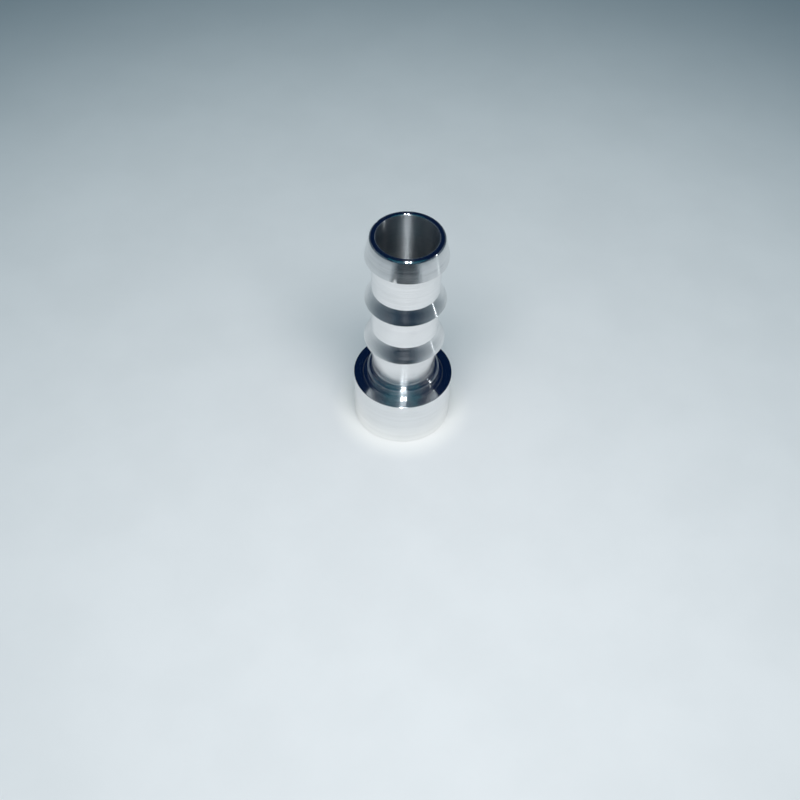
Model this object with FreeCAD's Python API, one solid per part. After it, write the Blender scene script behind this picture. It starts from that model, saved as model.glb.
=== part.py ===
import FreeCAD, Part
import math
import os

# Hose-fed carbon dioxide diffuser. Millimetres, +Z up along the turning axis.
# The origin is the centre of the collar's bottom rim, which the part stands on.

# Driving dimensions
HOSE_ID = 16.0                     # bore of the hose that the barbs hold
COLLAR_R = 11.0                    # collar's outer radius, the same as the hose's outside
COLLAR_HEIGHT = 12.3
FOOT_ROUNDING = 0.3
TOTAL_HEIGHT = 52.5
BORE_R = 6.4                       # open bore of the stem
ROOT_R = 7.25                      # stem between the barbs
NECK_R = 7.0                       # stem between the boss and the first barb
RUN_GAP = 0.04                     # radial clearance of the pieces that turn or slide
SEAT_GAP = 0.02                    # axial clearance of the pieces that turn or slide

# Barbs, from the collar to the tip: height of the edge, radius of the edge, length of the cone
BARBS = [
    (23.9, HOSE_ID / 2 + 0.75, 3.7),
    (35.45, HOSE_ID / 2 + 0.65, 3.35),
    (47.4, HOSE_ID / 2 + 0.65, TOTAL_HEIGHT - 47.4),
]
BARB_LAND = 0.18                   # height of the narrow cylinder at a barb's edge
TIP_R = 7.65
TIP_ROUNDING = 0.65                # outer edge of the tip
BORE_ROUNDING = 0.4                # mouth of the bore

# Stem: boss, shoulder flush in the collar's mouth, and flange under the collar's lip
BOSS_R = 8.0
BOSS_TOP = 14.5
BOSS_TOP_R = 7.55
BOSS_CHAMFER = 0.36                # height of the slope round the boss's top
MOUTH_R = 8.96
SHOULDER_R = MOUTH_R - RUN_GAP
SHOULDER_TOP = COLLAR_HEIGHT
SHOULDER_ROUNDING = 0.22
LIP_BOTTOM = 10.3
WASHER_THICK = 0.4
CAVITY_R = 9.6
FLANGE_R = CAVITY_R - RUN_GAP
FLANGE_TOP = LIP_BOTTOM - WASHER_THICK - SEAT_GAP
STEM_BOTTOM = 7.4
GROOVE_ROOT_R = 8.2
GROOVE_WIDTH = 1.5
GROOVE_Z = (FLANGE_TOP + STEM_BOTTOM) / 2

# Check valve in the stem's lower end
WEB_TOP = 17.0                     # floor of the open bore
WEB_BOTTOM = 14.6                  # valve seat
PORT_R = 2.4
VALVE_BORE_R = 5.5
RETAINER_R = 6.2
RETAINER_THICK = 1.4
PIN_R = 1.2
POPPET_R = 4.2
POPPET_TOP = WEB_BOTTOM - 0.5
POPPET_THICK = 1.1
SEAL_R = 3.3
SEAL_WIRE_R = 0.45
SPRING_R = 2.3
SPRING_WIRE_R = 0.32
SPRING_TURNS = 3.5
SPRING_ARCS_PER_TURN = 8
VENT_COUNT = 6
VENT_R = 0.75
VENT_PITCH_R = 4.0

# Disc pack in the collar's underside
THREAD_R = 9.95                    # mean radius of the retaining ring's thread
STEP_Z = 4.8                       # collar's inner step, which the pack is clamped against
CLEAR_R = 7.6                      # free opening under and above the disc
DISC_R = 9.1
SPACER_THICK = 0.7
GASKET_THICK = 0.5
DISC_THICK = 2.0
RING_BOTTOM = 0.3                  # the ring lies this far inside the collar's rim
NOTCH_COUNT = 4
NOTCH_WIDTH = 1.6
NOTCH_DEPTH = 0.6

# Snap ring under the stem's flange
CLIP_THICK = 0.8
CLIP_R = CAVITY_R + 0.5
CLIP_INNER_R = 8.5
CLIP_GAP = 3.2                     # free space between the ring's ends
CLIP_EAR_R = 1.15
CLIP_HOLE_R = 0.5

EDGE = 0.1                         # broken edge on turned metal


def outline(points):
    """Closed wire in the XZ plane from (radius, height, corner rounding) points."""
    corners = [(FreeCAD.Vector(r, 0, z), rounding) for r, z, rounding in points]
    pieces = []
    ends = []
    for i, (corner, rounding) in enumerate(corners):
        before = (corners[i - 1][0] - corner).normalize()
        after = (corners[(i + 1) % len(corners)][0] - corner).normalize()
        if not rounding:
            ends.append((corner, corner, None))
            continue
        half = before.getAngle(after) / 2
        reach = rounding / math.tan(half)
        to_middle = rounding / math.sin(half) - rounding
        middle = corner + (before + after).normalize() * to_middle
        ends.append((corner + before * reach, corner + after * reach, middle))
    for i, (entry, leave, middle) in enumerate(ends):
        if middle is not None:
            pieces.append(Part.Arc(entry, middle, leave).toShape())
        following = ends[(i + 1) % len(ends)][0]
        pieces.append(Part.LineSegment(leave, following).toShape())
    return Part.Wire(pieces)


def turned(points):
    """Solid of revolution about Z of a closed outline."""
    face = Part.Face(outline(points))
    return face.revolve(FreeCAD.Vector(0, 0, 0), FreeCAD.Vector(0, 0, 1), 360)


def flat_ring(r_inner, r_outer, z_bottom, z_top, rounding=0.0):
    return turned([
        (r_inner, z_bottom, rounding),
        (r_outer, z_bottom, rounding),
        (r_outer, z_top, rounding),
        (r_inner, z_top, rounding),
    ])


def round_ring(r_middle, r_wire, z_middle):
    return Part.makeTorus(r_middle, r_wire, FreeCAD.Vector(0, 0, z_middle))


def post(x, y, radius, z_bottom, z_top):
    return Part.makeCylinder(radius, z_top - z_bottom, FreeCAD.Vector(x, y, z_bottom))


def around(count, pitch_r):
    """Evenly spaced (x, y) places on a circle."""
    turns = [2 * math.pi * i / count for i in range(count)]
    return [(pitch_r * math.cos(a), pitch_r * math.sin(a)) for a in turns]


def collar():
    """Plain cylinder with a lip over the stem's flange and a stepped bore for the disc pack."""
    body = turned([
        (THREAD_R, 0, EDGE),
        (COLLAR_R, 0, FOOT_ROUNDING),
        (COLLAR_R, COLLAR_HEIGHT, EDGE),
        (MOUTH_R, COLLAR_HEIGHT, EDGE),
        (MOUTH_R, LIP_BOTTOM, EDGE),
        (CAVITY_R, LIP_BOTTOM, 0),
        (CAVITY_R, STEP_Z, EDGE),
        (THREAD_R, STEP_Z, 0),
    ])
    clip_top = STEM_BOTTOM - SEAT_GAP
    groove = flat_ring(CAVITY_R - 1, CLIP_R, clip_top - CLIP_THICK, clip_top)
    return body.cut(groove)


def barb_points():
    """Outer outline from the boss up to the tip, the edges with a narrow land."""
    points = []
    below_r = NECK_R
    for edge_z, edge_r, cone in BARBS:
        at_tip = edge_z + cone >= TOTAL_HEIGHT
        points += [
            (below_r, edge_z, EDGE),
            (edge_r, edge_z, EDGE / 2),
            (edge_r, edge_z + BARB_LAND, EDGE / 2),
            (TIP_R if at_tip else ROOT_R, edge_z + cone, TIP_ROUNDING if at_tip else EDGE),
        ]
        below_r = ROOT_R
    return points


def hose_stem():
    """One turned piece: barbs, boss, shoulder, flange with seal groove, bore and valve seat."""
    groove_low = GROOVE_Z - GROOVE_WIDTH / 2
    groove_high = GROOVE_Z + GROOVE_WIDTH / 2
    retainer_top = STEM_BOTTOM + RETAINER_THICK
    outside = [
        (RETAINER_R, STEM_BOTTOM, 0),
        (FLANGE_R, STEM_BOTTOM, EDGE),
        (FLANGE_R, groove_low, 0),
        (GROOVE_ROOT_R, groove_low, 0),
        (GROOVE_ROOT_R, groove_high, 0),
        (FLANGE_R, groove_high, 0),
        (FLANGE_R, FLANGE_TOP, EDGE),
        (SHOULDER_R, FLANGE_TOP, 0),
        (SHOULDER_R, SHOULDER_TOP, SHOULDER_ROUNDING),
        (BOSS_R, SHOULDER_TOP, EDGE),
        (BOSS_R, BOSS_TOP - BOSS_CHAMFER, EDGE),
        (BOSS_TOP_R, BOSS_TOP, EDGE / 2),
        (NECK_R, BOSS_TOP, EDGE),
    ]
    inside = [
        (BORE_R, TOTAL_HEIGHT, BORE_ROUNDING),
        (BORE_R, WEB_TOP, 0.4),
        (PORT_R, WEB_TOP, EDGE),
        (PORT_R, WEB_BOTTOM, EDGE),
        (VALVE_BORE_R, WEB_BOTTOM, 0.3),
        (VALVE_BORE_R, retainer_top, 0),
        (RETAINER_R, retainer_top, 0),
    ]
    return turned(outside + barb_points() + inside)


def thrust_washer():
    return flat_ring(MOUTH_R + 0.05, CAVITY_R - 0.05, LIP_BOTTOM - WASHER_THICK, LIP_BOTTOM)


def stem_o_ring():
    wire_r = (FLANGE_R - GROOVE_ROOT_R) / 2
    return round_ring(GROOVE_ROOT_R + wire_r, wire_r, GROOVE_Z)


def stem_circlip():
    """Open ring with two drilled ears for circlip pliers."""
    top = STEM_BOTTOM - SEAT_GAP
    bottom = top - CLIP_THICK
    body = flat_ring(CLIP_INNER_R, CLIP_R - 0.02, bottom, top)
    gap = Part.makeBox(4, CLIP_GAP, CLIP_THICK + 2, FreeCAD.Vector(CLIP_INNER_R - 1, -CLIP_GAP / 2, bottom - 1))
    body = body.cut(gap)
    ear_x = CLIP_INNER_R - 0.1
    for side in (-1, 1):
        ear_y = side * (CLIP_GAP / 2 + CLIP_EAR_R)
        body = body.fuse(post(ear_x, ear_y, CLIP_EAR_R, bottom, top))
    for side in (-1, 1):
        ear_y = side * (CLIP_GAP / 2 + CLIP_EAR_R)
        body = body.cut(post(ear_x, ear_y, CLIP_HOLE_R, bottom - 1, top + 1))
    return body.removeSplitter()


def spring_retainer():
    """Drilled disc with a guide hole for the poppet's pin."""
    top = STEM_BOTTOM + RETAINER_THICK
    body = flat_ring(PIN_R + RUN_GAP, RETAINER_R - 0.01, STEM_BOTTOM, top)
    for x, y in around(VENT_COUNT, VENT_PITCH_R):
        body = body.cut(post(x, y, VENT_R, STEM_BOTTOM - 1, top + 1))
    return body


def valve_poppet():
    """Round head with a groove for its seal, on a guide pin."""
    head_bottom = POPPET_TOP - POPPET_THICK
    pin_bottom = STEM_BOTTOM - 0.4
    head = turned([
        (0, pin_bottom, 0),
        (PIN_R, pin_bottom, 0.2),
        (PIN_R, head_bottom, 0.3),
        (POPPET_R, head_bottom, EDGE),
        (POPPET_R, POPPET_TOP, EDGE),
        (0, POPPET_TOP, 0),
    ])
    return head.cut(round_ring(SEAL_R, SEAL_WIRE_R, POPPET_TOP + 0.03))


def poppet_seal():
    return round_ring(SEAL_R, SEAL_WIRE_R, POPPET_TOP + 0.03)


def valve_spring():
    """Open coil spring between the retainer and the poppet's head, swept along short arcs."""
    bottom = STEM_BOTTOM + RETAINER_THICK + SPRING_WIRE_R
    height = POPPET_TOP - POPPET_THICK - SPRING_WIRE_R - bottom

    def on_coil(turn):
        angle = 2 * math.pi * turn
        rise = height * turn / SPRING_TURNS
        return FreeCAD.Vector(SPRING_R * math.cos(angle), SPRING_R * math.sin(angle), bottom + rise)

    step = 1 / SPRING_ARCS_PER_TURN
    arcs = []
    for i in range(round(SPRING_TURNS * SPRING_ARCS_PER_TURN)):
        start = i * step
        arcs.append(Part.Arc(on_coil(start), on_coil(start + step / 2), on_coil(start + step)).toShape())
    section = Part.Wire(Part.makeCircle(SPRING_WIRE_R, on_coil(0), FreeCAD.Vector(0, 1, 0)))
    return Part.Wire(arcs).makePipeShell([section], True, True)


def disc_stack():
    """Rings and disc clamped between the collar's step and the retaining ring, from the top."""
    spacer_bottom = STEP_Z - SPACER_THICK
    disc_top = spacer_bottom - GASKET_THICK
    disc_bottom = disc_top - DISC_THICK
    gasket_bottom = disc_bottom - GASKET_THICK
    disc = turned([
        (0, disc_bottom, 0),
        (DISC_R, disc_bottom, 0.2),
        (DISC_R, disc_top, 0.2),
        (0, disc_top, 0),
    ])
    return {
        "spacer_ring": flat_ring(CLEAR_R, THREAD_R - 0.02, spacer_bottom, STEP_Z),
        "upper_gasket": flat_ring(CLEAR_R, DISC_R, disc_top, spacer_bottom),
        "porous_disc": disc,
        "lower_gasket": flat_ring(CLEAR_R, DISC_R, gasket_bottom, disc_bottom),
        "disc_retaining_ring": retaining_ring(gasket_bottom, spacer_bottom),
    }


def retaining_ring(floor_z, wall_top):
    """Cup-shaped threaded ring round the disc, with spanner notches in its lower face."""
    body = turned([
        (CLEAR_R, RING_BOTTOM, 0.2),
        (THREAD_R - 0.02, RING_BOTTOM, EDGE),
        (THREAD_R - 0.02, wall_top, 0),
        (DISC_R + 0.03, wall_top, 0),
        (DISC_R + 0.03, floor_z, 0),
        (CLEAR_R, floor_z, 0),
    ])
    for i in range(NOTCH_COUNT):
        notch = Part.makeBox(
            THREAD_R, NOTCH_WIDTH, NOTCH_DEPTH + 1,
            FreeCAD.Vector(0, -NOTCH_WIDTH / 2, RING_BOTTOM - 1))
        notch.rotate(FreeCAD.Vector(0, 0, 0), FreeCAD.Vector(0, 0, 1), 360 / NOTCH_COUNT * i + 45)
        body = body.cut(notch)
    return body


def single_solid(shape):
    """The one solid of a shape, facing outwards."""
    solid = shape.Solids[0] if shape.Solids else Part.Solid(shape)
    if solid.Volume < 0:
        solid.reverse()
    return solid


nodes = {
    "collar": collar(),
    "hose_stem": hose_stem(),
    "thrust_washer": thrust_washer(),
    "stem_o_ring": stem_o_ring(),
    "stem_circlip": stem_circlip(),
    "spring_retainer": spring_retainer(),
    "valve_spring": valve_spring(),
    "valve_poppet": valve_poppet(),
    "poppet_seal": poppet_seal(),
}
nodes.update(disc_stack())

os.makedirs("parts", exist_ok=True)
for name, shape in nodes.items():
    piece = single_solid(shape)
    print(name, "solids", len(shape.Solids), "valid", piece.isValid(), "volume", round(piece.Volume, 2))
    piece.exportStep(f"parts/{name}.step")
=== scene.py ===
import math

import bmesh
import bpy
from mathutils import Matrix, Vector


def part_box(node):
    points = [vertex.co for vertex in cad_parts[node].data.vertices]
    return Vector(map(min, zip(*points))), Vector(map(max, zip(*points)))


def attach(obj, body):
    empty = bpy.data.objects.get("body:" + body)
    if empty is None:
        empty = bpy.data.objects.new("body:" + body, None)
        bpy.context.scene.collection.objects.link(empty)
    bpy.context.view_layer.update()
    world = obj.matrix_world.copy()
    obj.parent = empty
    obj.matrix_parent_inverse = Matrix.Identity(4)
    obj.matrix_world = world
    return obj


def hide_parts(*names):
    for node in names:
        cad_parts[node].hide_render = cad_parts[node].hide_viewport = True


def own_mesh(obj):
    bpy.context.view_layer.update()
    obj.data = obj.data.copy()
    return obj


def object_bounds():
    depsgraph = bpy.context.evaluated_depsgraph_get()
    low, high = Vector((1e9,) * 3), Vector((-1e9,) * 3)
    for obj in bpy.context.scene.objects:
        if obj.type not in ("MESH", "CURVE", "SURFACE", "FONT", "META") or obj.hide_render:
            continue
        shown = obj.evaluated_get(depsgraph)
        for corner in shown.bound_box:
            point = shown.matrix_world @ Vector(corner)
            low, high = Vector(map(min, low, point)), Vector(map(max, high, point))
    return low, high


# Hose-fed diffuser: turned aluminium stem and collar on a pale floor. Metres, +Z up.
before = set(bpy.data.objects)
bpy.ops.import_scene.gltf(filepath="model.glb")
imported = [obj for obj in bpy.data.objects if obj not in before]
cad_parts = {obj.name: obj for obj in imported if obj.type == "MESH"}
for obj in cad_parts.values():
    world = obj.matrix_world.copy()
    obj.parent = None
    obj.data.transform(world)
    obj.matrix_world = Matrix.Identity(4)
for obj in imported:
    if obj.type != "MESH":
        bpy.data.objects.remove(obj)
cad_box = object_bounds()

MM = 0.001
TURN = 2 * math.pi
SEGMENTS = 192                     # steps round a turned piece
ON_PLANE = 1e-7                    # a vertex this near to y = 0 lies on the outline

floor_z = cad_box[0][2]
tip_z = cad_box[1][2]
collar_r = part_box("collar")[1].x

# Turned metal. A scale is the size of noise, in patches to the metre.
BRIGHT = 0.15                      # roughness of the stem and the collar
LINE_BUMP = 0.22                   # strength of the turning lines
LINE_RELIEF = 0.012 * MM           # height of the turning lines
COARSE_LINES = 0.15                # coarse lines to one fine line
FACING_LINES = 1.3                 # lines on a flat face to one on a cylinder
STAIN_SCALE = 0.16 / MM
MARK_SCALE = 1.6 / MM
MARK_DULLNESS = 0.12               # extra roughness in a handling mark
BORE_R = 6.45 * MM                 # the stem is drilled inside this radius
BORE_EDGE = 0.1 * MM               # width over which the drilled look fades out
BORE_DULLNESS = 0.22               # extra roughness in the bore
BORE_DARKNESS = 0.20               # share of the bore's colour that gives way to painted shade
# painted shade: the dark colour that the bore's colour is mixed towards
BORE_PAINTED_SHADE = (0.02, 0.04, 0.06, 1)

# Plastic, rubber and ceramic
CLOUD_SCALE = 0.3 / MM
PORE_SCALE = 5.5 / MM
SPECK_SCALE = 9 / MM
PORE_RELIEF = 0.06 * MM
CERAMIC = (0.86, 0.85, 0.80, 1)
# painted shade: darker colour in the pores
CERAMIC_PORE_SHADE = (0.52, 0.50, 0.45, 1)
CERAMIC_SPECK = (0.95, 0.94, 0.90, 1)

# Floor board, with painted light and shade
FLOOR_SIZE = 6.0
BOARD_SCALE = 0.05 / MM
BOARD_LOW = (0.800, 0.818, 0.858, 1)
BOARD_HIGH = (0.828, 0.845, 0.886, 1)
PAINTED_GLOW = (0.97, 0.975, 0.985, 1)     # painted pool of light on the board beside the collar
PAINTED_GLOW_REACH = 1.55                  # reach of the painted light, in collar radii
# painted shade: the colour the far board greys to, as if less lit
FAR_PAINTED_SHADE = (0.30, 0.36, 0.42, 1)
FADE_CENTRE = (0, -50 * MM, 0)
FADE_START = 140 * MM              # painted shade greys the board from here, as measured from FADE_CENTRE
FADE_END = 310 * MM
MIRROR_START = 50 * MM             # painted shade: the metal mirrors a board that darkens from here outwards
MIRROR_END = 270 * MM
# painted shade that only the metal's reflections see on the far board
MIRRORED_BOARD_SHADE = (0.05, 0.12, 0.17, 1)

# Dark card: painted shade that only the metal mirrors
CARD_LIFT = 0.3 * MM               # height above the floor
CARD_SCALE = 0.2 / MM
CARD_LOW = (0.004, 0.012, 0.020, 1)
CARD_HIGH = (0.006, 0.016, 0.026, 1)

# Room
ROOM = (0.0013, 0.0070, 0.0310, 1)
FRONT_GLOW = (0.012, 0.030, 0.060, 1)
WALLS = (0.13, 0.165, 0.205, 1)
AMBIENT = (0.48, 0.84, 0.96, 1)    # light that the room gives the floor and the plastics
AMBIENT_STRENGTH = 0.27
BACKDROP = (0.52, 0.56, 0.60, 1)   # what the camera sees past the floor

# Lamp colours
WARM_WHITE = (1.0, 0.95, 0.91)
COOL_WHITE = (0.86, 0.94, 1.0)
ICE_WHITE = (0.9, 0.97, 1.0)
BLUE = (0.30, 0.82, 1.0)
PALE_BLUE = (0.3, 0.85, 1.0)
TEAL = (0.1, 0.9, 1.0)

# Camera
CAMERA_BACK = 15.17                # in collar radii
CAMERA_UP = 18.37                  # in collar radii
CAMERA_DOWN = 50.203               # degrees below level
CAMERA_YAW = 0.145                 # degrees
CAMERA_ROLL = 1.955                # degrees
LENS = 50.47                       # focal length in mm
SENSOR = 36.0                      # width in mm


# ---------------------------------------------------------------- node helpers

class Shader:
    """A material's or world's node tree, with short calls for adding and joining nodes."""

    def __init__(self, tree):
        self.tree = tree
        tree.nodes.clear()

    def add(self, kind, settings=None, **inputs):
        """New node. Inputs go by name, with _ for a space, or by place, as i0, i1 and so on."""
        node = self.tree.nodes.new("ShaderNode" + kind)
        for key, value in (settings or {}).items():
            setattr(node, key, value)
        for key, value in inputs.items():
            self.put(node, key.replace("_", " "), value)
        return node

    def put(self, node, name, value):
        by_place = name[0] == "i" and name[1:].isdigit()
        socket = node.inputs[int(name[1:]) if by_place else name]
        if isinstance(value, bpy.types.Node):
            value = value.outputs[0]
        if isinstance(value, bpy.types.NodeSocket):
            self.tree.links.new(value, socket)
        else:
            socket.default_value = value

    def math(self, operation, a, b=0.0, c=0.0):
        return self.add("Math", {"operation": operation}, i0=a, i1=b, i2=c).outputs[0]

    def vector(self, operation, a, b=(0, 0, 0)):
        return self.add("VectorMath", {"operation": operation}, i0=a, i1=b)

    def length(self, a, b=(0, 0, 0)):
        """Distance between a and b."""
        return self.vector("DISTANCE", a, b).outputs["Value"]

    def ramp(self, value, low, high, to_low=0.0, to_high=1.0):
        """Smooth step from to_low, where value is low, to to_high, where it is high."""
        settings = {"interpolation_type": "SMOOTHSTEP"}
        return self.add("MapRange", settings, i0=value, i1=low, i2=high, i3=to_low, i4=to_high)

    def mix(self, factor, a, b):
        node = self.add("Mix", {"data_type": "RGBA"}, i0=factor)
        self.put(node, "i6", a)
        self.put(node, "i7", b)
        return node.outputs[2]

    def noise(self, place, scale, detail=2.0):
        return self.add("TexNoise", Vector=place, Scale=scale, Detail=detail)

    def place(self):
        return self.add("TexCoord").outputs["Object"]

    def finish(self, kind, surface):
        self.add("Output" + kind, Surface=surface)


def material(name):
    made = bpy.data.materials.new(name)
    made.use_nodes = True
    return made, Shader(made.node_tree)


# ---------------------------------------------------------------- materials

def turned_metal(name, colour, roughness, lines, streak=1.0, bore_r=0.0):
    """Bright lathe-turned metal: grooves round the Z axis spread the gloss along the outline.

    It has lines per mm. Inside bore_r the metal is drilled and duller, and painted shade darkens its
    colour."""
    made, s = material(name)
    spot = s.place()
    parts = s.add("SeparateXYZ", Vector=spot)
    flat = s.add("CombineXYZ", X=parts.outputs[0], Y=parts.outputs[1])
    radius = s.length(flat)
    round_axis = s.vector("NORMALIZE", flat)
    along = s.math("ADD", parts.outputs[2], s.math("MULTIPLY", radius, FACING_LINES))

    def grooves(per_mm, drift):
        """Noise that is stretched round the axis, so that it draws tool lines."""
        around = s.add("VectorMath", {"operation": "SCALE"}, i0=round_axis, Scale=drift)
        lift = s.add("CombineXYZ", Z=s.math("MULTIPLY", along, per_mm / MM))
        return s.noise(s.vector("ADD", around, lift), 1.0, 3.0)

    fine = grooves(lines, 0.6)
    coarse = grooves(lines * COARSE_LINES, 0.25)
    depth = s.math("ADD", s.math("MULTIPLY", fine, 0.35), s.math("MULTIPLY", coarse, 0.65))
    bump = s.add("Bump", Strength=LINE_BUMP, Distance=LINE_RELIEF, Height=depth)

    drilled = s.ramp(radius, bore_r, bore_r + BORE_EDGE, 1.0, 0.0)
    stain = s.noise(spot, STAIN_SCALE, 3.0)
    marks = s.ramp(s.noise(spot, MARK_SCALE), 0.74, 0.80)
    line_gloss = s.ramp(fine, 0.3, 0.7, -0.03, 0.03)
    stain_gloss = s.ramp(stain, 0.35, 0.7, -0.02, 0.04)
    uneven = s.math("MULTIPLY_ADD", marks, MARK_DULLNESS, s.math("ADD", line_gloss, stain_gloss))
    gloss = s.math("ADD", uneven, s.math("MULTIPLY_ADD", drilled, BORE_DULLNESS, roughness))

    dim = [c * 0.96 for c in colour]
    tint = s.mix(s.ramp(coarse, 0.35, 0.65), (*dim, 1), (*colour, 1))
    # painted shade darkens the colour inside the bore
    tint = s.mix(s.math("MULTIPLY", drilled, BORE_DARKNESS), tint, BORE_PAINTED_SHADE)
    tangent = s.add("Tangent", {"direction_type": "RADIAL", "axis": "Z"})
    metal = s.add(
        "BsdfPrincipled", Base_Color=tint, Metallic=1.0, Roughness=gloss,
        Anisotropic=streak, Anisotropic_Rotation=0.25, Tangent=tangent, Normal=bump)
    s.finish("Material", metal)
    return made


def moulded(name, colour, roughness, grain_mm, depth_mm, sheen=0.0):
    """Plastic or rubber with a fine moulded grain and uneven gloss."""
    made, s = material(name)
    spot = s.place()
    grain = s.noise(spot, 1 / (grain_mm * MM), 3.0)
    cloud = s.noise(spot, CLOUD_SCALE)
    bump = s.add("Bump", Strength=0.5, Distance=depth_mm * MM, Height=grain)
    dim = [c * 0.85 for c in colour]
    tint = s.mix(s.ramp(cloud, 0.3, 0.7), (*dim, 1), (*colour, 1))
    gloss = s.ramp(grain, 0.3, 0.7, roughness - 0.06, roughness + 0.08)
    skin = s.add(
        "BsdfPrincipled", Base_Color=tint, Roughness=gloss, Normal=bump, Sheen_Weight=sheen)
    s.finish("Material", skin)
    return made


def sintered_ceramic():
    """Pale fused grains with open pores between them, darkened with painted shade."""
    made, s = material("porous_ceramic")
    spot = s.place()
    grains = s.add("TexVoronoi", {"feature": "F1"}, Vector=spot, Scale=PORE_SCALE)
    from_grain = grains.outputs["Distance"]
    speck = s.noise(spot, SPECK_SCALE, 3.0)
    # painted shade darkens the pores between the grains
    tint = s.mix(s.ramp(from_grain, 0.45, 0.75), CERAMIC, CERAMIC_PORE_SHADE)
    tint = s.mix(s.ramp(speck, 0.45, 0.75, 0.0, 0.35), tint, CERAMIC_SPECK)
    lumps = s.math("SUBTRACT", s.math("MULTIPLY", speck, 0.4), from_grain)
    bump = s.add("Bump", Strength=0.8, Distance=PORE_RELIEF, Height=lumps)
    s.finish("Material", s.add("BsdfPrincipled", Base_Color=tint, Roughness=0.82, Normal=bump))
    return made


def floor_material():
    """Pale board with painted light and shade: a painted pool of light round the collar, painted
    shade greying it far away, and painted shade where the metal mirrors it.
    """
    made, s = material("pale_floor")
    spot = s.place()
    distance = s.length(spot)
    mottle = s.noise(spot, BOARD_SCALE, 4.0)
    tint = s.mix(s.ramp(mottle, 0.3, 0.7), BOARD_LOW, BOARD_HIGH)
    # painted light: the board is brightest round the collar, as if lit by the metal
    tint = s.mix(s.ramp(distance, collar_r, collar_r * PAINTED_GLOW_REACH, 1.0, 0.0), tint, PAINTED_GLOW)
    # painted shade: the board greys far from the object
    tint = s.mix(s.ramp(s.length(spot, FADE_CENTRE), FADE_START, FADE_END), tint, FAR_PAINTED_SHADE)
    # painted shade seen only in reflections: the metal sees the board darken outwards
    edge = s.ramp(distance, MIRROR_START, MIRROR_END)
    mirrored = s.math("MULTIPLY", s.add("LightPath").outputs["Is Glossy Ray"], edge)
    tint = s.mix(mirrored, tint, MIRRORED_BOARD_SHADE)
    s.finish("Material", s.add("BsdfPrincipled", Base_Color=tint, Roughness=0.65))
    return made


def painted_shade_card():
    made, s = material("painted_shade_card")
    # painted shade: a near-black card for the metal to mirror
    tint = s.mix(s.noise(s.place(), CARD_SCALE), CARD_LOW, CARD_HIGH)
    s.finish("Material", s.add("BsdfPrincipled", Base_Color=tint, Roughness=0.8))
    return made


# ---------------------------------------------------------------- turned pieces

def add_object(name, mesh, skin):
    made = bpy.data.objects.new(name, mesh)
    bpy.context.scene.collection.objects.link(made)
    mesh.materials.clear()
    mesh.materials.append(skin)
    return made


def meridian(node):
    """Outline of a turned CAD node, as ordered (radius, height) points where it crosses +X."""
    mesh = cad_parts[node].data
    spots = {}
    for v in mesh.vertices:
        if abs(v.co.y) < ON_PLANE < v.co.x:
            spots[v.index] = (round(v.co.x, 7), round(v.co.z, 7))
    links = {}
    for edge in mesh.edges:
        a, b = (spots.get(i) for i in edge.vertices)
        if a and b and a != b:
            links.setdefault(a, set()).add(b)
            links.setdefault(b, set()).add(a)
    path = [max(links, key=lambda p: (p[1], p[0]))]
    while True:
        onward = [p for p in links[path[-1]] if p not in path]
        if not onward:
            return path
        path.append(min(onward, key=lambda p: math.dist(p, path[-1])))


def spin(outline):
    """Closed outline turned round Z."""
    bm = bmesh.new()
    rings = []
    for i in range(SEGMENTS):
        angle = TURN * i / SEGMENTS
        across, deep = math.cos(angle), math.sin(angle)
        rings.append([bm.verts.new((r * across, r * deep, z)) for r, z in outline])
    for i, ring in enumerate(rings):
        following = rings[(i + 1) % SEGMENTS]
        for j in range(len(outline)):
            k = (j + 1) % len(outline)
            bm.faces.new((ring[j], following[j], following[k], ring[k]))
    bmesh.ops.recalc_face_normals(bm, faces=bm.faces)
    for face in bm.faces:
        face.smooth = True
    return bm


def dent(bm, angle, r, z, reach, depth):
    """Pushes the metal within reach of a spot inwards and down, most at the spot itself."""
    downwards = Vector((0, 0, -0.6))
    centre = Vector((r * math.cos(angle), r * math.sin(angle), z))
    for v in bm.verts:
        away = (v.co - centre).length / reach
        if away < 1:
            inwards = Vector((-v.co.x, -v.co.y, 0)).normalized()
            v.co += (inwards + downwards) * depth * (1 - away * away) ** 2


def turn(node, body, skin, nicks=()):
    """Smoother stand-in for a turned CAD node, spun from the node's own outline."""
    bm = spin(meridian(node))
    for nick in nicks:
        dent(bm, *nick)
    mesh = bpy.data.meshes.new("turned_" + node)
    bm.to_mesh(mesh)
    bm.free()
    piece = add_object("turned_" + node, mesh, skin)
    even = piece.modifiers.new("even_faces", "WEIGHTED_NORMAL")
    even.mode = "FACE_AREA"
    even.weight = 100
    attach(piece, body)
    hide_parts(node)


# Wear on the stem: angle, radius, height, reach and depth of a nick in the rim and one in a barb
rim_nick = (math.radians(147), 7.6 * MM, tip_z - 0.3 * MM, 0.5 * MM, 0.14 * MM)
barb_nick = (math.radians(-105), 8.75 * MM, tip_z - 5.1 * MM, 0.4 * MM, 0.16 * MM)

stem_skin = turned_metal("stem_aluminium", (0.96, 0.945, 0.94), BRIGHT, 9.0, bore_r=BORE_R)
collar_skin = turned_metal("collar_aluminium", (0.91, 0.91, 0.905), BRIGHT, 7.0)
turn("hose_stem", "stem", stem_skin, [rim_nick, barb_nick])
turn("collar", "head", collar_skin)


# ---------------------------------------------------------------- CAD nodes that stay

def paint(skin, *nodes):
    for node in nodes:
        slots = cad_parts[node].data.materials
        slots.clear()
        slots.append(skin)


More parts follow.
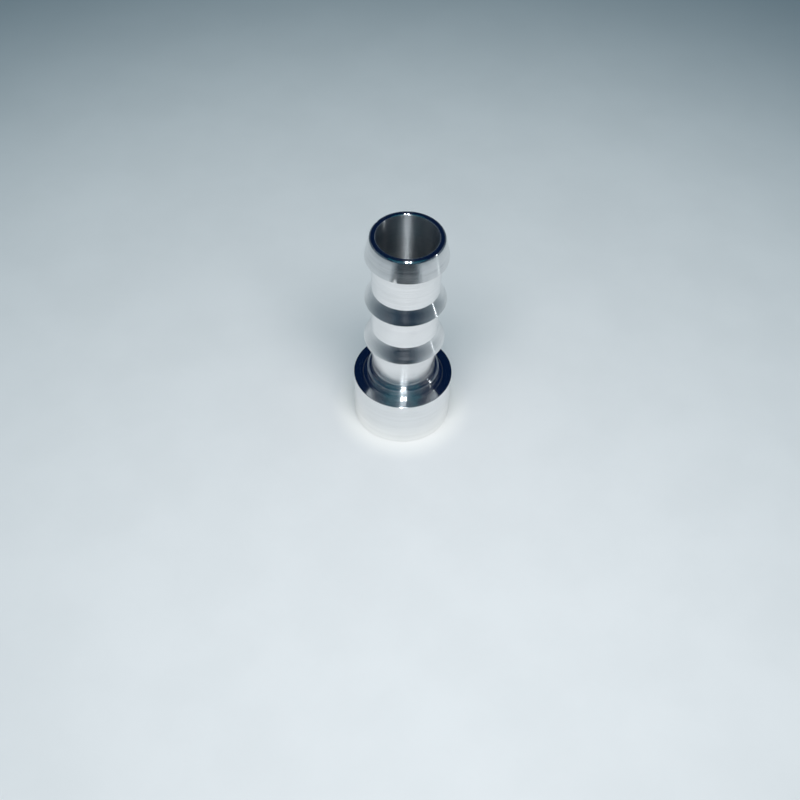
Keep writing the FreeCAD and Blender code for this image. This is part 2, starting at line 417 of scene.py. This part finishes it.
spring_steel = turned_metal("spring_steel", (0.60, 0.60, 0.59), 0.28, 5.0, 0.4)
ring_aluminium = turned_metal("ring_aluminium", (0.82, 0.84, 0.85), 0.34, 6.0)
brass = turned_metal("brass", (0.80, 0.60, 0.28), 0.30, 6.0)
white_plastic = moulded("white_plastic", (0.86, 0.86, 0.84), 0.42, 0.2, 0.004)
valve_plastic = moulded("valve_plastic", (0.82, 0.80, 0.73), 0.38, 0.15, 0.004)
black_rubber = moulded("black_rubber", (0.018, 0.018, 0.018), 0.45, 0.1, 0.004, sheen=0.2)
gasket_rubber = moulded("gasket_rubber", (0.62, 0.62, 0.58), 0.55, 0.12, 0.006, sheen=0.1)

paint(ring_aluminium, "disc_retaining_ring", "spacer_ring")
paint(spring_steel, "stem_circlip")
paint(brass, "spring_retainer")
paint(white_plastic, "thrust_washer")
paint(valve_plastic, "valve_poppet")
paint(black_rubber, "stem_o_ring", "poppet_seal")
paint(gasket_rubber, "upper_gasket", "lower_gasket")
paint(sintered_ceramic(), "porous_disc")


# ---------------------------------------------------------------- spring

def coil_spring(node, skin):
    """The CAD spring again, as a piece of its own that rides on the stem."""
    coil = add_object("coil_spring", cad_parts[node].data.copy(), skin)
    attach(coil, "stem")
    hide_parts(node)
    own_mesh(coil)


coil_spring("valve_spring", spring_steel)


# ---------------------------------------------------------------- stage, light and camera

def floor():
    bpy.ops.mesh.primitive_plane_add(size=FLOOR_SIZE, location=(0, 0, floor_z))
    board = bpy.context.object
    board.name = "floor"
    board.data.materials.append(floor_material())


def shade_flag(x, y_near, y_far):
    """Dark card on the floor in front, seen only by the metal: painted shade that the tip's cone
    mirrors.

    It reaches x to each side, and from y_near to y_far, in mm."""
    card_z = floor_z + CARD_LIFT
    corners = [(-x, y_far), (x, y_far), (x, y_near), (-x, y_near)]
    mesh = bpy.data.meshes.new("shade_flag")
    mesh.from_pydata([(a * MM, b * MM, card_z) for a, b in corners], [], [(0, 1, 2, 3)])
    card = add_object("shade_flag", mesh, painted_shade_card())
    card.visible_camera = False
    card.visible_diffuse = False
    card.visible_shadow = False


def lamp(name, start_mm, end_mm, width_mm, power, colour, mirrored=True):
    """Soft light of some watts, long from start to end, that faces the middle of the object.

    It lights only what mirrors it, as the metal does, or only what doesn't, as the floor does."""
    start, end = Vector(start_mm) * MM, Vector(end_mm) * MM
    data = bpy.data.lights.new(name, "AREA")
    data.shape = "RECTANGLE"
    data.size = width_mm * MM
    data.size_y = (end - start).length
    data.energy = power
    data.color = colour
    centre = (start + end) / 2
    along = (end - start).normalized()
    back = centre - Vector((0, 0, (floor_z + tip_z) / 2))
    back = (back - along * back.dot(along)).normalized()
    turned = Matrix((along.cross(back), along, back)).transposed().to_4x4()
    light = bpy.data.objects.new(name, data)
    light.matrix_world = Matrix.Translation(centre) @ turned
    light.visible_glossy = mirrored
    light.visible_diffuse = not mirrored
    bpy.context.scene.collection.objects.link(light)


def surroundings():
    """Pale backdrop. The metal mirrors a dark blue room instead, with a glow in front and
    paler walls at the sides and back."""
    world = bpy.data.worlds.new("room")
    world.use_nodes = True
    s = Shader(world.node_tree)
    path = s.add("LightPath")
    way = s.add("SeparateXYZ", Vector=s.add("TexCoord").outputs["Generated"])
    across, deep, up = way.outputs
    front = s.math("MULTIPLY", s.ramp(deep, -0.10, -0.45), s.ramp(up, 0.15, 0.45))
    sideways = s.math("ABSOLUTE", across)
    side = s.math("MULTIPLY", s.ramp(sideways, 0.65, 0.92), s.ramp(up, 0.58, 0.36))
    back = s.math("MULTIPLY", s.ramp(deep, 0.35, 0.70), s.ramp(up, 0.40, 0.22))
    wall = s.math("MULTIPLY", s.math("MAXIMUM", side, back), s.ramp(up, 0.0, 0.12))
    room = s.mix(wall, s.mix(front, ROOM, FRONT_GLOW), WALLS)
    mirrored = s.add("Background", Color=room, Strength=1.0)
    plain = s.add("Background", Color=AMBIENT, Strength=AMBIENT_STRENGTH)
    backdrop = s.add("Background", Color=BACKDROP, Strength=1.0)
    seen = s.add("MixShader", i0=path.outputs["Is Glossy Ray"], i1=plain, i2=mirrored)
    s.finish("World", s.add("MixShader", i0=path.outputs["Is Camera Ray"], i1=seen, i2=backdrop))
    bpy.context.scene.world = world


def camera():
    """Looks down at the front of the object, with a slight roll, as the photograph does."""
    data = bpy.data.cameras.new("camera")
    data.sensor_width = SENSOR
    data.lens = LENS
    place = Matrix.Translation((0, -CAMERA_BACK * collar_r, floor_z + CAMERA_UP * collar_r))
    yaw = Matrix.Rotation(math.radians(CAMERA_YAW), 4, "Z")
    pitch = Matrix.Rotation(math.radians(90 - CAMERA_DOWN), 4, "X")
    roll = Matrix.Rotation(math.radians(CAMERA_ROLL), 4, "Z")
    eye = bpy.data.objects.new("camera", data)
    eye.matrix_world = place @ yaw @ pitch @ roll
    bpy.context.scene.collection.objects.link(eye)
    bpy.context.scene.camera = eye


floor()
shade_flag(70, -80, -420)
surroundings()
camera()

# Lamps: both ends of the middle line and the width in mm, power in watts. The first lights the floor.
lamp("panel", (-100, -110, 250), (120, -110, 250), 110, 0.615, WARM_WHITE, mirrored=False)
# Soft colour in the dark parts of the metal
lamp("wide", (-200, -95, 315), (200, -95, 315), 60, 0.015, TEAL)
lamp("front_low", (-220, -300, 220), (220, -300, 220), 60, 0.036, BLUE)
# Bright lines down the front, in the bore, on the neck and across the collar's ring
lamp("strip_left", (1, -125, 315), (1, -65, 315), 6, 0.29, COOL_WHITE)
lamp("strip_right", (30, -125, 315), (30, -65, 315), 6, 0.11, COOL_WHITE)
# Faint line down the left of the cones, and the white one down their right
lamp("bar_left", (-237, 27, 183), (-171, -81, 231), 12, 0.0022, PALE_BLUE)
lamp("bar_right", (279, -39, 40), (266, -29, 115), 2, 0.045, ICE_WHITE)
bpy.context.scene.view_settings.view_transform = "Standard"
